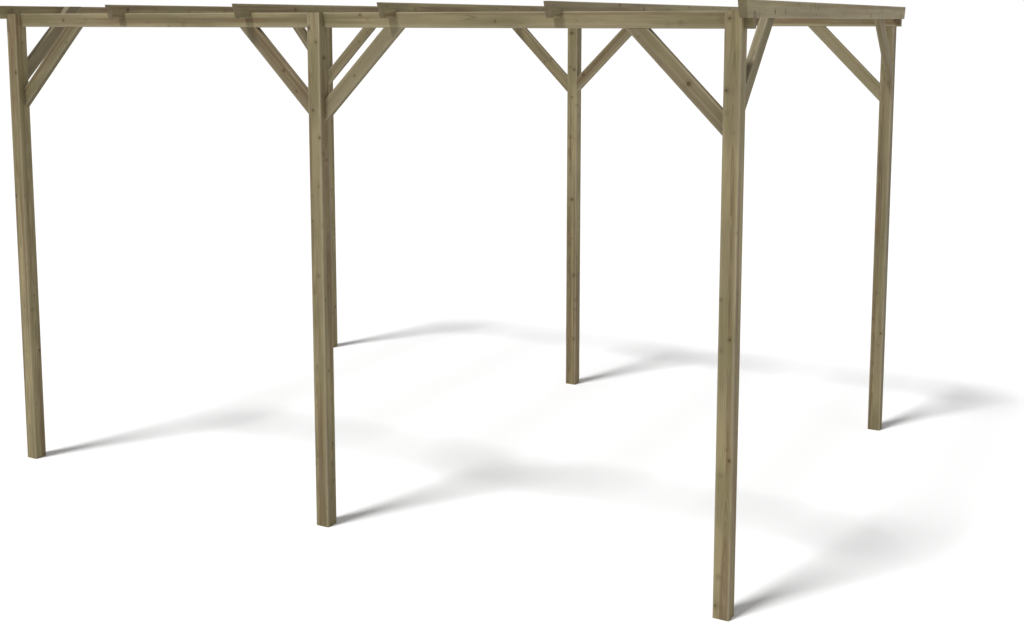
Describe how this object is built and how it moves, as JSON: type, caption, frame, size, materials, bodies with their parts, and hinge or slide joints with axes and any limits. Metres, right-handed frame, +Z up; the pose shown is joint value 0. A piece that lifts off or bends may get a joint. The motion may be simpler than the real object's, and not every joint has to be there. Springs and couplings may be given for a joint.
{
  "type": "timber carport frame",
  "caption": "Open timber carport frame on square posts, with notched beams, level rafters across and diagonal knee braces; no roof covering.",
  "frame": {"origin": "centre of the frame's plan, on the ground under the posts' feet", "axes": "+X along the rows of posts, +Y from the front row to the rear row, +Z up"},
  "size_m": [5.38, 3.784, 3.24],
  "materials": {
    "post_timber": "planed pressure-treated softwood, weathered green-brown",
    "beam_timber": "planed pressure-treated softwood, weathered green-brown",
    "rafter_timber": "planed pressure-treated softwood, weathered green-brown",
    "brace_timber": "planed pressure-treated softwood, weathered green-brown"
  },
  "bodies": {
    "root": {"post_front_left": "post_timber", "post_front_middle": "post_timber", "post_front_right": "post_timber", "post_rear_left": "post_timber", "post_rear_middle": "post_timber", "post_rear_right": "post_timber", "beam_front": "beam_timber", "beam_rear": "beam_timber", "rafter_1": "rafter_timber", "rafter_2": "rafter_timber", "rafter_3": "rafter_timber", "rafter_4": "rafter_timber", "rafter_5": "rafter_timber", "rafter_6": "rafter_timber", "brace_front_left": "brace_timber", "brace_front_middle_left": "brace_timber", "brace_front_middle_right": "brace_timber", "brace_front_right": "brace_timber", "brace_rear_left": "brace_timber", "brace_rear_middle_left": "brace_timber", "brace_rear_middle_right": "brace_timber", "brace_rear_right": "brace_timber", "brace_left_end_front": "brace_timber", "brace_left_end_rear": "brace_timber", "brace_right_end_front": "brace_timber", "brace_right_end_rear": "brace_timber"}
  },
  "joints": []
}
